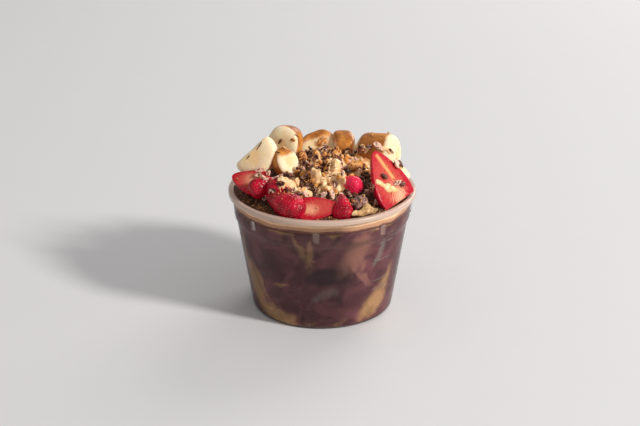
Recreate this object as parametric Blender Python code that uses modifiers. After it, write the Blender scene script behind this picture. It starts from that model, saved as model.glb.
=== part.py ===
# Acai bowl: a clear deli cup filled with acai, a bed of granola, and fruit set in it.
# Metres, +Z up. The origin is at the middle of the cup's foot, and -Y is the front.

import math

import bmesh
import bpy
from mathutils import Matrix, Vector

MM = 0.001
GAP = 0.3 * MM  # clearance between pieces that touch

# Cup, outside sizes
HEIGHT = 77.5 * MM
RIM_RADIUS = 58.5 * MM
BEAD_TALL = 3.2 * MM
BEAD_ROUND = 0.6 * MM
COLLAR_TOP_RADIUS = 56.0 * MM
COLLAR_FOOT_RADIUS = 54.9 * MM
COLLAR_FOOT_Z = 61.0 * MM
SHOULDER_RADIUS = 53.6 * MM
SHOULDER_Z = 58.6 * MM
WALL_FOOT_RADIUS = 44.7 * MM
CORNER = 3.0 * MM
WALL_LEAN = math.degrees(math.atan2(SHOULDER_RADIUS - WALL_FOOT_RADIUS, SHOULDER_Z - CORNER))
WALL = 0.8 * MM
CUP_STEPS = 64

# Stacking lugs, on the collar just above the shoulder
LUG_COUNT = 8
LUG_FIRST_BEARING = -94.0  # degrees; the front is -90
LUG_WIDE = 4.0 * MM
LUG_TALL = 7.0 * MM
LUG_PROUD = 0.6 * MM
LUG_SUNK = 0.5 * MM
LUG_Z = 65.8 * MM

# Filling
ACAI_EDGE_Z = 67.5 * MM
ACAI_CROWN = 1.5 * MM
HALF_WAY_CROWN = 0.75  # share of the crown's height that is left half way out
GRANOLA_EDGE_Z = 75.6 * MM
FILL_STEPS = 48

# Granola mound: (share of the bed's radius, height above its edge in mm)
MOUND = [(0.0, 22.5), (0.22, 21.6), (0.42, 17.4), (0.6, 11.6), (0.77, 6.0), (0.9, 2.6), (1.0, 0.0)]
MOUND_BACK = 8.0 * MM  # how far its crown lies behind the middle
MOUND_LUMP = 0.9 * MM
LUMP_WAVES = [(420, 150, 0.0), (-210, 380, 1.3), (690, 690, 0.0)]  # radians per metre in x and y, phase

# Where a topping lies: bearing (degrees, front -90), distance out and lift above the rim (mm).
# How it lies: compass turn and tip above level of its cut face, and its roll in that face (degrees).
# Banana slices: across, long, thick (mm), and how far beyond the middle one side is cut straight.
# A slice cut on the slant is longer than it is across.
BANANAS = [
    ((176, 41.5, 20.2), (-110, 22, -42), (27.0, 28.5, 11.0, 3.0)),
    ((-175, 22.8, 16.4), (-48, 35, 0), (16.5, 20.0, 8.5, None)),
    ((135.5, 33.2, 19.6), (-117, 11, -20), (22.5, 25.5, 13.0, None)),
    ((91.5, 32.5, 11.8), (-95, 46, 10), (27.0, 28.5, 11.0, None)),
    ((66.3, 35.6, 12.2), (6, 5, 0), (25.0, 25.5, 14.0, None)),
    ((31.5, 41.6, 13.2), (-22, 5, 10), (27.0, 28.0, 25.0, None)),
    ((10, 48.0, 6.4), (-5, 52, 30), (15.0, 19.0, 7.0, None)),
]

# Strawberry pieces: across, long, deep (mm), long from stem end to tip before the
# stem end is cut straight, and how far from the middle that cut is.
STRAWBERRIES = [
    ((-162.5, 46.4, 9.6), (-112, 64, 84), (20.0, 25.0, 9.0, None)),
    ((-147, 43.0, 8.2), (52, -42, 30), (13.0, 16.5, 9.0, None)),
    ((-118, 45.5, 3.2), (70, -40, -72), (17.0, 29.0, 11.0, None)),
    ((-93, 47.3, 4.4), (-86, 38, -86), (15.0, 27.0, 8.0, None)),
    ((-75, 44.5, 2.4), (112, -35, 10), (13.0, 18.0, 9.0, None)),
    ((-54, 27.5, 8.8), (80, -60, -78), (12.5, 18.0, 8.0, None)),
    ((-28, 47.2, 11.0), (-42, 32, 8), (32.0, 43.0, 10.5, 12.5)),
    ((-132, 36.5, 7.8), (60, -62, 60), (14.0, 19.0, 9.0, None)),
]
BERRY_TAPER = 0.42  # how fast it narrows from the stem end to the tip
BERRY_WIDEST = 1.075  # its widest ring against the one half way along

# The two loose pieces at the front of the rim
CLUSTER = ((-61.5, 46.2, 5.9), (-60, 70, 20), (13.0, 9.0, 8.0))
CLUSTER_KNOBS = (0.12, 0.08)  # swell of its broad and its fine waves
FLAKE = ((-62.5, 53.6, 2.4), (-72, 62, -84), (5.5, 17.0, 1.4))
FLAKE_NARROW = 1.8  # how fast it narrows to its ends
FLAKE_CURL = 2.2 * MM
FLAKE_RIPPLE = 0.5 * MM

# Soft fruit pressed together: the first of each pair gives way to the second
PRESSED = [
    ("banana_2", "banana_1"),
    ("banana_4", "banana_3"),
    ("banana_4", "banana_5"),
    ("banana_5", "banana_6"),
    ("banana_7", "banana_6"),
    ("banana_7", "strawberry_7"),
    ("strawberry_1", "banana_1"),
    ("strawberry_1", "strawberry_2"),
    ("strawberry_8", "strawberry_2"),
    ("strawberry_8", "strawberry_3"),
    ("strawberry_3", "strawberry_4"),
    ("strawberry_5", "strawberry_4"),
]

BANANA_SIDES = 20
BANANA_SWELL = 0.02  # of its five faint flats
BANANA_EDGE = 2.2 * MM
BERRY_AROUND = 16
BERRY_ALONG = 11
CUTTER_SIDES = 12
CUTTER_RINGS = 7
SHARP_ANGLE = math.radians(40)


def clear_scene():
    for obj in list(bpy.data.objects):
        bpy.data.objects.remove(obj, do_unlink=True)


def new_collection(name):
    made = bpy.data.collections.new(name)
    bpy.context.scene.collection.children.link(made)
    return made


def material(name, colour, roughness, alpha=1.0):
    made = bpy.data.materials.new(name)
    made.use_nodes = True
    shader = made.node_tree.nodes["Principled BSDF"]
    shader.inputs["Base Color"].default_value = (*colour, 1.0)
    shader.inputs["Roughness"].default_value = roughness
    shader.inputs["Metallic"].default_value = 0.0
    shader.inputs["Alpha"].default_value = alpha
    return made


def new_object(name, mesh, collection, look=None):
    made = bpy.data.objects.new(name, mesh)
    collection.objects.link(made)
    if look:
        mesh.materials.append(look)
    return made


def mesh_of(form, name):
    """The mesh of a finished bmesh, with its faces turned outwards and shaded smooth."""
    bmesh.ops.recalc_face_normals(form, faces=form.faces)
    mesh = bpy.data.meshes.new(name)
    form.to_mesh(mesh)
    form.free()
    mesh.shade_smooth()
    mesh.set_sharp_from_angle(angle=SHARP_ANGLE)
    return mesh


def turned(name, profile, steps, collection, look):
    """A profile of (radius, height) points, turned round the Z axis with a Screw modifier."""
    mesh = bpy.data.meshes.new(name)
    edges = [(i, i + 1) for i in range(len(profile) - 1)]
    mesh.from_pydata([(radius, 0.0, z) for radius, z in profile], edges, [])
    made = new_object(name, mesh, collection, look)
    screw = made.modifiers.new("turn", "SCREW")
    screw.steps = steps
    screw.render_steps = steps
    screw.use_merge_vertices = True
    screw.merge_threshold = 0.00001
    screw.use_smooth_shade = True
    return made


def corner_arc(centre_radius, centre_z, radius, count):
    """Points of the rounded corner between wall and foot, from the wall side down."""
    turn = (90 - WALL_LEAN) / count
    angles = [math.radians(-WALL_LEAN - turn * i) for i in range(count + 1)]
    return [(centre_radius + radius * math.cos(a), centre_z + radius * math.sin(a)) for a in angles]


def cup_wall():
    """The outer wall below the bead, top to bottom, as (radius, z)."""
    return [
        (COLLAR_TOP_RADIUS, HEIGHT - BEAD_TALL),
        (COLLAR_FOOT_RADIUS, COLLAR_FOOT_Z),
        (SHOULDER_RADIUS, SHOULDER_Z),
        *corner_arc(WALL_FOOT_RADIUS - CORNER, CORNER, CORNER, 4),
    ]


def inset_wall(inset):
    """The same wall moved in by a thickness: every run of it is nearly upright but the foot."""
    wall = [(radius - inset, z) for radius, z in cup_wall()[:3]]
    return wall + corner_arc(WALL_FOOT_RADIUS - CORNER, CORNER, CORNER - inset, 4)


def inside_radius(z, inset):
    """Radius of the inset wall at a height, between the collar's top and the foot's corner."""
    wall = [(COLLAR_TOP_RADIUS - inset, HEIGHT), *inset_wall(inset)]
    for (high_radius, high_z), (low_radius, low_z) in zip(wall, wall[1:]):
        if low_z <= z <= high_z:
            share = (z - low_z) / (high_z - low_z)
            return low_radius + share * (high_radius - low_radius)
    return wall[-1][0]


def make_cup(collection, cutters, look):
    """Thin turned cup with a solid bead at its rim, and lugs welded to its collar."""
    bead_foot = HEIGHT - BEAD_TALL
    bead = [
        (COLLAR_TOP_RADIUS - WALL, HEIGHT - BEAD_ROUND),
        (COLLAR_TOP_RADIUS - WALL + BEAD_ROUND, HEIGHT),
        (RIM_RADIUS - BEAD_ROUND, HEIGHT),
        (RIM_RADIUS, HEIGHT - BEAD_ROUND),
        (RIM_RADIUS, bead_foot + BEAD_ROUND),
        (RIM_RADIUS - BEAD_ROUND, bead_foot),
    ]
    profile = [(0.0, WALL), *reversed(inset_wall(WALL)), *bead, *cup_wall(), (0.0, 0.0)]
    cup = turned("cup", profile, CUP_STEPS, collection, look)
    union = cup.modifiers.new("lugs", "BOOLEAN")
    union.operation = "UNION"
    union.solver = "EXACT"
    union.object = make_lugs(cutters)


def make_lugs(cutters):
    """Eight upright pads, each sunk a little into the collar, as one operand."""
    form = bmesh.new()
    deep = LUG_PROUD + LUG_SUNK
    taper = math.atan2(COLLAR_TOP_RADIUS - COLLAR_FOOT_RADIUS, HEIGHT - BEAD_TALL - COLLAR_FOOT_Z)
    middle = inside_radius(LUG_Z, 0.0) + LUG_PROUD - deep / 2
    for index in range(LUG_COUNT):
        bearing = math.radians(LUG_FIRST_BEARING + 360 * index / LUG_COUNT)
        turn = Matrix.Rotation(bearing, 4, "Z")
        place = turn @ Matrix.Translation((middle, 0, LUG_Z)) @ Matrix.Rotation(taper, 4, "Y")
        size = Matrix.Diagonal((deep, LUG_WIDE, LUG_TALL, 1))
        bmesh.ops.create_cube(form, size=1.0, matrix=place @ size)
    lugs = new_object("lug_pads", mesh_of(form, "lug_pads"), cutters)
    return as_cutter(lugs)


def as_cutter(obj):
    obj.hide_render = True
    obj.display_type = "WIRE"
    return obj


def make_acai(collection, look):
    """The acai, up to a low crown under the granola."""
    inset = WALL + GAP
    wall = [point for point in inset_wall(inset) if point[1] < ACAI_EDGE_Z]
    edge = (inside_radius(ACAI_EDGE_Z, inset), ACAI_EDGE_Z)
    crown = [(0.0, ACAI_EDGE_Z + ACAI_CROWN), (edge[0] / 2, ACAI_EDGE_Z + ACAI_CROWN * HALF_WAY_CROWN)]
    foot = (0.0, WALL + GAP)
    turned("acai", [*crown, edge, *wall, foot], FILL_STEPS, collection, look)


def lump(x, y):
    """Uneven rise of the granola at a place, between -1 and 1: the mean of its crossing waves."""
    waves = [math.sin(x * along + y * across + phase) for along, across, phase in LUMP_WAVES]
    return sum(waves) / len(waves)


def make_granola(collection, cutters, look):
    """Bed and mound of granola, spun from its profile, made uneven, then cut round the fruit."""
    inset = WALL + GAP
    edge_radius = inside_radius(GRANOLA_EDGE_Z, inset)
    profile = [(share * edge_radius, GRANOLA_EDGE_Z + rise * MM) for share, rise in MOUND]
    under = ACAI_EDGE_Z + GAP
    profile.append((inside_radius(under, inset), under))
    profile.append((inside_radius(under, inset) / 2, under + ACAI_CROWN * HALF_WAY_CROWN))
    profile.append((0.0, under + ACAI_CROWN))
    form = bmesh.new()
    points = [form.verts.new((radius, 0.0, z)) for radius, z in profile]
    line = [form.edges.new(pair) for pair in zip(points, points[1:])]
    bmesh.ops.spin(form, geom=line, axis=(0, 0, 1), cent=(0, 0, 0), steps=FILL_STEPS,
                   angle=math.tau, use_duplicate=False)
    bmesh.ops.remove_doubles(form, verts=form.verts, dist=0.00001)
    for vert in form.verts:
        reach = math.hypot(vert.co.x, vert.co.y) / edge_radius
        if vert.co.z > GRANOLA_EDGE_Z + 0.1 * MM:
            vert.co.y += (1 - reach**2) * MOUND_BACK
            vert.co.z += (1 - reach**4) * MOUND_LUMP * lump(vert.co.x, vert.co.y)
    granola = new_object("granola", mesh_of(form, "granola"), collection, look)
    cut = granola.modifiers.new("round the fruit", "BOOLEAN")
    cut.operation = "DIFFERENCE"
    cut.solver = "EXACT"
    cut.operand_type = "COLLECTION"
    cut.collection = cutters


def set_down(obj, where, how):
    """Puts a piece in the bowl: its local Z is the way its cut face looks."""
    bearing, out, lift = where
    turn, tip, roll = (math.radians(angle) for angle in how)
    face = Vector((math.cos(turn) * math.cos(tip), math.sin(turn) * math.cos(tip), math.sin(tip)))
    up = Vector((-math.cos(turn) * math.sin(tip), -math.sin(turn) * math.sin(tip), math.cos(tip)))
    right = up.cross(face)
    frame = Matrix((right, up, face)).transposed() @ Matrix.Rotation(roll, 3, "Z")
    around = math.radians(bearing)
    obj.location = (
        out * MM * math.cos(around),
        out * MM * math.sin(around),
        HEIGHT + lift * MM,
    )
    obj.rotation_euler = frame.to_euler()


def banana_form(size, sides, grow):
    """A thick oval disc with five faint flats round it, as a banana has."""
    across, long, thick = (length * MM + 2 * grow for length in size[:3])
    trim = size[3]
    form = bmesh.new()
    bmesh.ops.create_cone(form, cap_ends=True, segments=sides, radius1=0.5, radius2=0.5, depth=1.0)
    for vert in form.verts:
        around = math.atan2(vert.co.y, vert.co.x)
        swell = 1 + BANANA_SWELL * math.cos(5 * around + 0.6)
        vert.co = (vert.co.x * across * swell, vert.co.y * long * swell, vert.co.z * thick)
    if trim is not None:
        cut_flat(form, (-trim * MM - grow, 0, 0), (-1, 0, 0))
    return form


def cut_flat(form, point, outwards):
    """Cuts away what lies beyond a plane, and closes the cut with one flat face."""
    cut = bmesh.ops.bisect_plane(form, geom=[*form.verts, *form.edges, *form.faces], dist=1e-7,
                                 plane_co=point, plane_no=outwards, clear_outer=True)
    rim = [item for item in cut["geom_cut"] if isinstance(item, bmesh.types.BMEdge)]
    bmesh.ops.holes_fill(form, edges=rim)


def berry_form(size, around, along, grow):
    """Half a strawberry: an egg that narrows to its tip at +Y, cut flat at local Z = 0.
    The stem end may be cut straight too.
    """
    across, long, deep = (length * MM for length in size[:3])
    trim = size[3]
    form = bmesh.new()
    bmesh.ops.create_uvsphere(form, u_segments=around, v_segments=along, radius=1.0)
    for vert in form.verts:
        x, side, axis = vert.co
        slim = (1 - BERRY_TAPER * axis) / BERRY_WIDEST
        vert.co = (
            x * slim * (across / 2 + grow),
            axis * (long / 2 + grow),
            side * slim * (deep + grow),
        )
    cut_flat(form, (0, 0, grow), (0, 0, 1))
    if trim is not None:
        cut_flat(form, (0, -trim * MM - grow, 0), (0, -1, 0))
    return form


def cluster_form(size, grow):
    """A knobbly lump: a ball swollen and pinched by waves."""
    broad, fine = CLUSTER_KNOBS
    form = bmesh.new()
    bmesh.ops.create_icosphere(form, subdivisions=2, radius=0.5)
    for vert in form.verts:
        x, y, z = vert.co
        swell = 1 + broad * math.sin(9 * x + 2) * math.cos(8 * y - 1) + fine * math.sin(11 * z)
        vert.co = [c * swell * (length * MM + 2 * grow) for c, length in zip((x, y, z), size)]
    return form


def flake_form(size, grow):
    """A thin curled flake: a bent bar with its ends turned up."""
    across, long, thick = (length * MM + 2 * grow for length in size)
    form = bmesh.new()
    bmesh.ops.create_cube(form, size=1.0)
    long_edges = [e for e in form.edges if abs(e.verts[0].co.y - e.verts[1].co.y) > 0.5]
    bmesh.ops.subdivide_edges(form, edges=long_edges, cuts=7, use_grid_fill=True)
    for vert in form.verts:
        x, y, z = vert.co
        narrow = 1 - FLAKE_NARROW * y * y
        curl = FLAKE_CURL * 4 * y * y + FLAKE_RIPPLE * math.sin(14 * y)
        vert.co = (x * across * narrow, y * long, z * thick * narrow + curl)
    return form


def make_fruit(name, form, where, how, collection, look, round_edge=0.0):
    made = new_object(name, mesh_of(form, name), collection, look)
    set_down(made, where, how)
    if round_edge:
        bevel = made.modifiers.new("soft edge", "BEVEL")
        bevel.width = round_edge
        bevel.segments = 2
        bevel.limit_method = "ANGLE"
        bevel.angle_limit = SHARP_ANGLE
    return made


def make_cutter(name, form, where, how, cutters):
    return as_cutter(make_fruit(name + "_room", form, where, how, cutters, None))


def make_toppings(collection, cutters, looks):
    """Fruit and loose pieces, and for each a slightly larger copy that cuts its bed."""
    chord = 1 / math.cos(math.pi / CUTTER_SIDES) - 1  # a coarse cutter has to clear the fine shape
    for number, (where, how, size) in enumerate(BANANAS, 1):
        name = f"banana_{number}"
        room = GAP + chord * max(size[:2]) / 2 * MM
        make_fruit(name, banana_form(size, BANANA_SIDES, 0.0), where, how, collection,
                   looks["banana"], BANANA_EDGE)
        make_cutter(name, banana_form(size, CUTTER_SIDES, room), where, how, cutters)
    for number, (where, how, size) in enumerate(STRAWBERRIES, 1):
        name = f"strawberry_{number}"
        room = GAP + chord * max(size[:3]) / 2 * MM
        make_fruit(name, berry_form(size, BERRY_AROUND, BERRY_ALONG, 0.0), where, how, collection,
                   looks["strawberry"])
        make_cutter(name, berry_form(size, CUTTER_SIDES, CUTTER_RINGS, room), where, how, cutters)
    where, how, size = CLUSTER
    make_fruit("cluster", cluster_form(size, 0.0), where, how, collection, looks["cluster"])
    make_cutter("cluster", cluster_form(size, 2 * GAP), where, how, cutters)
    where, how, size = FLAKE
    make_fruit("flake", flake_form(size, 0.0), where, how, collection, looks["flake"])
    make_cutter("flake", flake_form(size, GAP), where, how, cutters)


def press_together(cutters):
    """Dents one soft piece with the room of the next, so that the two meet face to face."""
    for number, (soft, firm) in enumerate(PRESSED, 1):
        dent = bpy.data.objects[soft].modifiers.new(f"pressed {number}", "BOOLEAN")
        dent.operation = "DIFFERENCE"
        dent.solver = "EXACT"
        dent.object = cutters.objects[firm + "_room"]


def main():
    clear_scene()
    bowl = new_collection("acai_bowl")
    lug_shapes = new_collection("lug_shapes")
    fruit_rooms = new_collection("fruit_rooms")
    looks = {
        "cup": material("cup_plastic", (0.78, 0.76, 0.73), 0.35, 0.35),
        "acai": material("acai_puree", (0.10, 0.035, 0.045), 0.45),
        "granola": material("toasted_granola", (0.33, 0.16, 0.06), 0.8),
        "banana": material("banana_flesh", (0.88, 0.72, 0.42), 0.45),
        "strawberry": material("strawberry_flesh", (0.62, 0.05, 0.06), 0.35),
        "cluster": material("nut_cluster", (0.34, 0.18, 0.13), 0.7),
        "flake": material("toasted_flake", (0.62, 0.38, 0.16), 0.6),
    }
    make_cup(bowl, lug_shapes, looks["cup"])
    make_acai(bowl, looks["acai"])
    make_toppings(bowl, fruit_rooms, looks)
    press_together(fruit_rooms)
    make_granola(bowl, fruit_rooms, looks["granola"])


main()
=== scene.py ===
# The looks of an acai bowl: marbled acai in a clear cup, a heap of granola and cacao nibs,
# banana slices, cut strawberries and trails of nut butter. Lengths are in millimetres times mm.
import math

import bpy
import numpy as np
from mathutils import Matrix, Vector
from mathutils.bvhtree import BVHTree


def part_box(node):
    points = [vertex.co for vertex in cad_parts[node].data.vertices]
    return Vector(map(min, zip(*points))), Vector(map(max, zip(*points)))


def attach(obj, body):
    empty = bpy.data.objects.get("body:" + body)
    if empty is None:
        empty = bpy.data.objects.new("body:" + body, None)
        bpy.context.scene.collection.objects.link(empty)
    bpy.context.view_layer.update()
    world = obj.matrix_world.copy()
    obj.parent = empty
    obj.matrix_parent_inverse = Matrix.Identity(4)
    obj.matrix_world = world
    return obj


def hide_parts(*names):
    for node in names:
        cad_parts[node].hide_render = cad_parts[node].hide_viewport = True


mm = 0.001
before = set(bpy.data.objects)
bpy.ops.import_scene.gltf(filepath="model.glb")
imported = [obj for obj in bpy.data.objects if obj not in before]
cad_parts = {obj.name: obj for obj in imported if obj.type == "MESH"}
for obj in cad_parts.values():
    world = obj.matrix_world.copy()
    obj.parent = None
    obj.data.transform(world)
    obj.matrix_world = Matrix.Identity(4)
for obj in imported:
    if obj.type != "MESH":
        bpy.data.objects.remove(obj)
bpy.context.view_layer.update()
cupLow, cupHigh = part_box("cup")
rimTop = cupHigh.z
rimRadius = (cupHigh.x - cupLow.x) / 2


# ---- meshes from arrays

def ringFaces(rows, cols):
    # quads between neighbouring rings, whose columns close on themselves, and a fan at each end
    row, col = np.meshgrid(np.arange(rows - 1), np.arange(cols), indexing="ij")
    here = row * cols + col
    beside = row * cols + (col + 1) % cols
    quads = np.stack([here, beside, beside + cols, here + cols], -1).reshape(-1, 4)
    spin = np.arange(cols)
    after = (spin + 1) % cols
    last = (rows - 1) * cols
    first = np.stack([np.full(cols, rows * cols), after, spin], -1)
    final = np.stack([np.full(cols, rows * cols + 1), last + spin, last + after], -1)
    return quads, np.vstack([first, final])


def closeRings(rings):
    # rings (rows, cols, 3) become one closed skin: a pole at the middle of the first and last ring
    rows, cols = rings.shape[:2]
    quads, fans = ringFaces(rows, cols)
    points = np.vstack([rings.reshape(-1, 3), rings[:1].mean(1), rings[-1:].mean(1)])
    halves = np.vstack([quads[:, [0, 1, 2]], quads[:, [0, 2, 3]], fans])
    corner = points[halves]
    volume = np.einsum("ij,ij->i", corner[:, 0], np.cross(corner[:, 1], corner[:, 2])).sum()
    if volume < 0:  # faces look outwards
        quads, fans = quads[:, ::-1], fans[:, ::-1]
    return points, [quads, fans]


def withPoles(values):
    # a value for each ring point, and the mean of the end rings for the two poles
    return np.concatenate([values.reshape(-1), [values[0].mean(), values[-1].mean()]])


def joinSkins(skins):
    # several (points, faces) skins as one, faces renumbered
    points, faces, start = [], [], 0
    for skinPoints, skinFaces in skins:
        points.append(skinPoints)
        faces += [block + start for block in skinFaces]
        start += len(skinPoints)
    return np.vstack(points), faces


def makePiece(name, skin, look, nodes=(), marks=None, flat=False):
    points, faces = skin
    mesh = bpy.data.meshes.new(name)
    mesh.from_pydata(points.tolist(), [], [face for block in faces for face in block.tolist()])
    for mark, values in (marks or {}).items():
        layer = mesh.attributes.new(mark, "FLOAT", "POINT")
        layer.data.foreach_set("value", np.asarray(values, np.float32))
    mesh.polygons.foreach_set("use_smooth", np.full(len(mesh.polygons), not flat))
    mesh.materials.append(look)
    piece = bpy.data.objects.new(name, mesh)
    bpy.context.scene.collection.objects.link(piece)
    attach(piece, "root")
    if nodes:
        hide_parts(*nodes)
    return piece


def ease(low, high, value):
    # 0 below low, 1 above high, and a smooth S between them
    share = np.clip((value - low) / (high - low), 0, 1)
    return share * share * (3 - 2 * share)


def ripple(points, size, seed, count=9):
    # soft unevenness about -1 to 1: the mean of crossing waves of about one length, in random directions
    rng = np.random.default_rng(seed)
    ways = rng.normal(size=(count, 3))
    ways /= np.linalg.norm(ways, axis=1)[:, None]
    lengths = size * rng.uniform(0.7, 1.5, count)
    phase = rng.uniform(0, math.tau, count)
    turns = points.reshape(-1, 3) @ (ways / lengths[:, None]).T * math.tau + phase
    return (np.sin(turns).sum(1) * 1.5 / count).reshape(points.shape[:-1])


def softLeast(first, second, sharpness):
    # the smaller of two radii, with the corner between them rounded
    return (first ** -sharpness + second ** -sharpness) ** (-1 / sharpness)


def spanOf(node):
    low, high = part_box(node)
    return np.array(low), np.array(high)


def lieAs(points, how):
    # turns a form so that its own Z looks along a compass turn and a tip above level, rolled about it
    turn, tip, roll = np.radians(how)
    face = np.array([np.cos(turn) * np.cos(tip), np.sin(turn) * np.cos(tip), np.sin(tip)])
    up = np.array([-np.cos(turn) * np.sin(tip), -np.sin(turn) * np.sin(tip), np.cos(tip)])
    right = np.cross(up, face)
    across = np.cos(roll) * right + np.sin(roll) * up
    along = -np.sin(roll) * right + np.cos(roll) * up
    return points @ np.stack([across, along, face])


def standAt(points, where):
    # moves a form to a bearing, a distance out and a height above the rim
    bearing, out, lift = where
    turn = math.radians(bearing)
    return points + np.array([out * math.cos(turn), out * math.sin(turn), 77.5 + lift]) * mm


def putIn(points, node):
    # moves a form so that the middle of its box is the middle of its node's box
    low, high = spanOf(node)
    return points + (low + high) / 2 - (points.reshape(-1, 3).min(0) + points.reshape(-1, 3).max(0)) / 2


# ---- shader maths

class Wire:
    # a socket of a node tree: arithmetic on it adds Math nodes, node() adds any other
    def __init__(self, tree, socket=None):
        self.tree = tree
        self.socket = socket

    def node(self, kind, settings=None, inputs=None, output=0):
        made = self.tree.nodes.new(kind)
        for key, value in (settings or {}).items():
            if key == "stops":
                ramp = made.color_ramp
                while len(ramp.elements) < len(value):
                    ramp.elements.new(0.5)
                for element, (place, colour) in zip(ramp.elements, value):
                    element.position = place
                    element.color = (*colour, 1)
            else:
                setattr(made, key, value)
        for key, value in (inputs or {}).items():
            if isinstance(value, Wire):
                self.tree.links.new(value.socket, made.inputs[key])
            else:
                made.inputs[key].default_value = value
        return Wire(self.tree, made.outputs[output])

    def math(self, operation, first, second):
        return self.node("ShaderNodeMath", {"operation": operation}, {0: first, 1: second})

    def __add__(self, other):
        return self.math("ADD", self, other)

    def __sub__(self, other):
        return self.math("SUBTRACT", self, other)

    def __mul__(self, other):
        return self.math("MULTIPLY", self, other)

    def __truediv__(self, other):
        return self.math("DIVIDE", self, other)

    def __pow__(self, other):
        return self.math("POWER", self, other)

    def __rsub__(self, other):
        return self.math("SUBTRACT", other, self)

    __radd__ = __add__
    __rmul__ = __mul__

    def between(self, low, high):
        # a mask: 0 at low, 1 at high, smooth between
        return self.node("ShaderNodeMapRange", {"interpolation_type": "SMOOTHSTEP"},
                         {"Value": self, "From Min": low, "From Max": high})

    def mix(self, first, second):
        # colour from first to second as this mask goes from 0 to 1
        return self.node("ShaderNodeMix", {"data_type": "RGBA"},
                         {0: self, 6: rgba(first), 7: rgba(second)}, output=2)

    def ramp(self, stops):
        return self.node("ShaderNodeValToRGB", {"stops": stops}, {"Fac": self})

    def noise(self, size, detail=3.0, roughness=0.55, warp=0.0):
        return self.node("ShaderNodeTexNoise", {}, {"Vector": self, "Scale": 1 / (size * mm),
                         "Detail": detail, "Roughness": roughness, "Distortion": warp})

    def cells(self, size, feature="F1"):
        return self.node("ShaderNodeTexVoronoi", {"feature": feature},
                         {"Vector": self, "Scale": 1 / (size * mm)})

    def mark(self, name):
        return self.node("ShaderNodeAttribute", {"attribute_name": name}, output=2)

    def bump(self, height, depth, strength=1.0):
        return self.node("ShaderNodeBump", {}, {"Height": height, "Distance": depth * mm,
                         "Strength": strength})


def rgba(colour):
    return colour if isinstance(colour, Wire) else (*colour, 1.0)


def makeLook(name, paint, fixed):
    # a Principled material: fixed sets its plain sockets, paint(place) returns the linked ones
    look = bpy.data.materials.new(name)
    look.use_nodes = True
    tree = look.node_tree
    shader = tree.nodes["Principled BSDF"]
    for key, value in fixed.items():
        shader.inputs[key].default_value = value
    place = Wire(tree).node("ShaderNodeTexCoord", output="Object")
    for key, value in paint(place).items():
        tree.links.new(value.socket, shader.inputs[key])
    return look


# ---- camera, light and floor

view = {
    "target": (-1.4, 0.0, 59.5), "away": 900.0, "above": 22.13, "lens": 80.6,
    # area lights: the way to them, how far and how wide, power, colour
    "lights": {
        "key": ((0.745, -0.43, 0.51), 3000.0, 480.0, 80.0, (1.0, 0.99, 0.97)),
        "fill": ((0.45, 0.75, 0.50), 2200.0, 1500.0, 18.0, (1.0, 0.98, 0.97)),
    },
    "sky": (0.60, 0.595, 0.60), "skyPower": 0.66,
    "floor": (0.70, 0.692, 0.690), "floorWide": 8000.0,
}


def setView():
    target = Vector(view["target"]) * mm
    above = math.radians(view["above"])
    away = Vector((0, -math.cos(above), math.sin(above)))
    camera = bpy.data.objects.new("camera", bpy.data.cameras.new("camera"))
    camera.data.lens = view["lens"]
    camera.data.sensor_width = 36
    camera.data.clip_start = 0.01
    camera.location = target + away * view["away"] * mm
    camera.rotation_euler = away.to_track_quat("Z", "Y").to_euler()
    bpy.context.scene.collection.objects.link(camera)
    bpy.context.scene.camera = camera

    for name, (towards, far, wide, power, colour) in view["lights"].items():
        lamp = bpy.data.objects.new(name, bpy.data.lights.new(name, "AREA"))
        lamp.data.shape = "DISK"
        lamp.data.size = wide * mm
        lamp.data.energy = power
        lamp.data.color = colour
        towards = Vector(towards).normalized()
        lamp.location = target + towards * far * mm
        lamp.rotation_euler = towards.to_track_quat("Z", "Y").to_euler()
        bpy.context.scene.collection.objects.link(lamp)

    world = bpy.data.worlds.new("studio")
    world.use_nodes = True
    sky = world.node_tree.nodes["Background"]
    sky.inputs["Color"].default_value = rgba(view["sky"])
    sky.inputs["Strength"].default_value = view["skyPower"]
    bpy.context.scene.world = world
    bpy.context.scene.view_settings.view_transform = "Standard"

    def paintFloor(place):
        grain = place.noise(40, 4)
        return {"Base Color": grain.mix(view["floor"], [c * 1.02 for c in view["floor"]]),
                "Normal": place.bump(place.noise(0.6), 0.02)}

    half = view["floorWide"] / 2 * mm
    sheet = bpy.data.meshes.new("floor")
    sheet.from_pydata([(-half, -half, 0), (half, -half, 0), (half, half, 0), (-half, half, 0)], [], [(0, 1, 2, 3)])
    sheet.materials.append(makeLook("palePaper", paintFloor, {"Roughness": 0.9, "Specular IOR Level": 0.2}))
    floor = bpy.data.objects.new("floor", sheet)
    bpy.context.scene.collection.objects.link(floor)


setView()
print("camera, light and floor are set")


# ---- cup

cup = {
    "beadTall": 3.2, "beadRound": 1.1, "collarTop": 56.0, "collarFoot": (54.9, 61.0),
    "shoulder": (53.6, 58.6), "wallFoot": 44.7, "corner": 3.0, "wall": 0.8, "around": 256,
    # the milky colour: the plastic's white, tinted warm with painted light from the food shining through it
    "haze": 0.006, "milkyAndFoodGlow": (0.70, 0.50, 0.395), "glanceIor": 1.18,
    "lugs": 8, "lugFirst": -94.0, "lugWide": 4.0, "lugTall": 7.0, "lugProud": 0.6, "lugZ": 65.8,
    "tickBearing": -44.0, "ticks": (24.0, 30.0, 44.0, 56.0), "tickLong": 14.0,
}


def arc(centre, radius, start, stop, count):
    # points of an arc in the (radius, height) plane, angles in degrees
    angle = np.radians(np.linspace(start, stop, count))
    return np.stack([centre[0] + radius * np.cos(angle), centre[1] + radius * np.sin(angle)], -1)


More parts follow.
